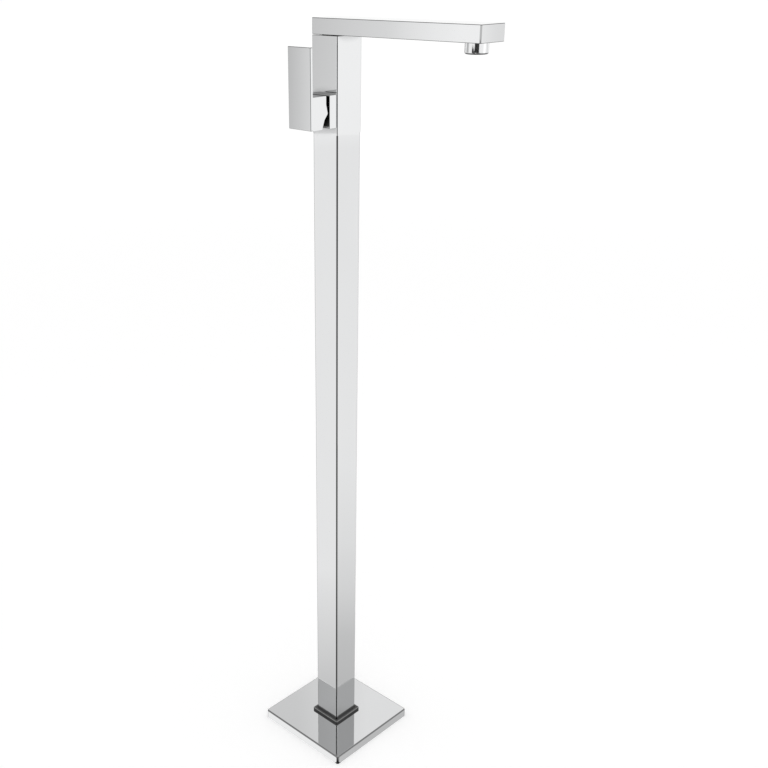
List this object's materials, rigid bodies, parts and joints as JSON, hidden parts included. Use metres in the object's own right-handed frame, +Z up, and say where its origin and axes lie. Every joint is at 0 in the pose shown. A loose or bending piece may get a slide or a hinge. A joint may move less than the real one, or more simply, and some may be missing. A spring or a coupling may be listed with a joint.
{
  "type": "floor standing bath filler",
  "caption": "Slim square column on a square floor plate, with a flat swivelling spout, a nozzle under its end and a single upright lever plate on a square hub.",
  "frame": {"origin": "centre of the column and of the four floor bolts, on the floor", "axes": "+Z up, +X the way the spout points at rest, -Y the lever's side"},
  "size_m": [0.293, 0.15, 0.997],
  "materials": {
    "chrome": "polished",
    "zinced_steel": "zinc plated",
    "screw_steel": "plain",
    "seal_rubber": "matt",
    "pipe_metal": "drawn copper",
    "raw_brass": "turned",
    "pale_plastic": "moulded",
    "ceramic": "lapped ceramic"
  },
  "bodies": {
    "stand": {"floor_flange": "zinced_steel", "column_spigot": "zinced_steel", "column_tube": "chrome", "column_foot_screws": "screw_steel", "column_head_screws": "screw_steel", "hot_inlet_union": "raw_brass", "cold_inlet_union": "raw_brass", "hot_supply_pipe": "pipe_metal", "cold_supply_pipe": "pipe_metal", "hot_pipe_tail": "raw_brass", "cold_pipe_tail": "raw_brass", "pipe_tail_seals": "seal_rubber", "mixer_body": "chrome", "cartridge_port_seals": "seal_rubber", "cartridge_base": "pale_plastic", "fixed_ceramic_disc": "ceramic", "cartridge_housing": "pale_plastic", "cartridge_nut": "raw_brass", "swivel_washer": "pale_plastic", "spout_stop_screw": "screw_steel"},
    "floor_cover": {"floor_cover_plate": "chrome", "cover_seal_collar": "seal_rubber"},
    "spout": {"spout_shell": "chrome", "spout_tail": "raw_brass", "spout_o_rings": "seal_rubber", "aerator_housing": "chrome", "aerator_insert": "pale_plastic", "aerator_seal": "seal_rubber"},
    "rotor": {"stem_rotor": "pale_plastic", "stem_pin": "screw_steel"},
    "lever": {"lever_stem": "raw_brass", "handle_hub": "chrome", "handle_plate": "chrome", "plate_screws": "screw_steel", "handle_set_screw": "screw_steel", "set_screw_plug": "chrome"},
    "disc": {"moving_ceramic_disc": "ceramic", "disc_carrier": "pale_plastic"}
  },
  "joints": [
    {"name": "spout_swivel", "type": "hinge", "parent": "stand", "child": "spout", "pos_m": [0, 0, 0.979], "axis": [0, 0, 1], "range_deg": [-90, 90]},
    {"name": "handle_turn", "type": "hinge", "parent": "stand", "child": "rotor", "pos_m": [0, -0.0277, 0.8968], "axis": [0, 1, 0], "range_deg": [-50, 50]},
    {"name": "handle_tilt", "type": "hinge", "parent": "rotor", "child": "lever", "pos_m": [0, -0.0277, 0.8968], "axis": [1, 0, 0], "range_deg": [0, 24]},
    {"name": "disc_slide", "type": "slide", "parent": "rotor", "child": "disc", "axis": [0, 0, 1], "range_m": [0, 0.0036]},
    {"name": "cover_lift", "type": "slide", "parent": "stand", "child": "floor_cover", "axis": [0, 0, 1], "range_m": [0, 0.85]}
  ],
  "couplings": [
    {"joint": "disc_slide", "follows": "handle_tilt", "m_per_rad": 0.00835}
  ]
}
